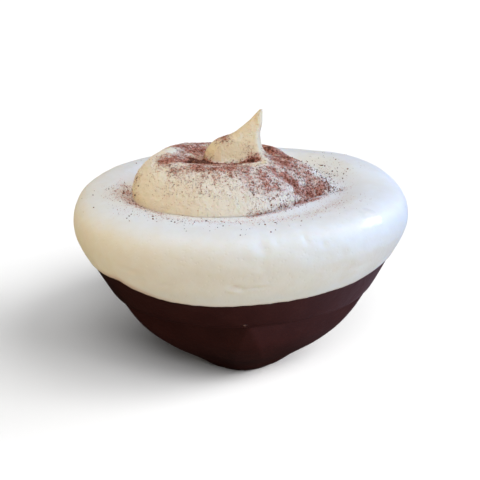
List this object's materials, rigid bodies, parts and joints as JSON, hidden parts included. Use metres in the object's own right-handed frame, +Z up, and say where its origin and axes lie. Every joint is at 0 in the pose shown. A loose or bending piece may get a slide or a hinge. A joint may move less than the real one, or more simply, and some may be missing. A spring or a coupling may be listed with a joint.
{
  "type": "mousse dessert in a chocolate cup",
  "caption": "Thin dark chocolate cup filled with a thick pillow of white cream, topped with a pale coffee mousse drawn up to a leaning peak and dusted with cocoa.",
  "frame": {"origin": "middle of the cup's flat foot, on the surface it stands on", "axes": "+Z up; +X to the right of the front view, where the mousse's tail points; +Y away from the viewer"},
  "size_m": [0.0826, 0.0837, 0.0662],
  "materials": {
    "dark_chocolate": "dark chocolate with a soft satin sheen",
    "white_cream": "smooth moist white cream",
    "coffee_mousse": "airy pale coffee mousse dusted with red-brown cocoa",
    "cocoa": "dry red-brown cocoa powder"
  },
  "bodies": {
    "root": {"chocolate_cup": "dark_chocolate", "white_cream": "white_cream", "coffee_mousse": "coffee_mousse"}
  },
  "joints": []
}
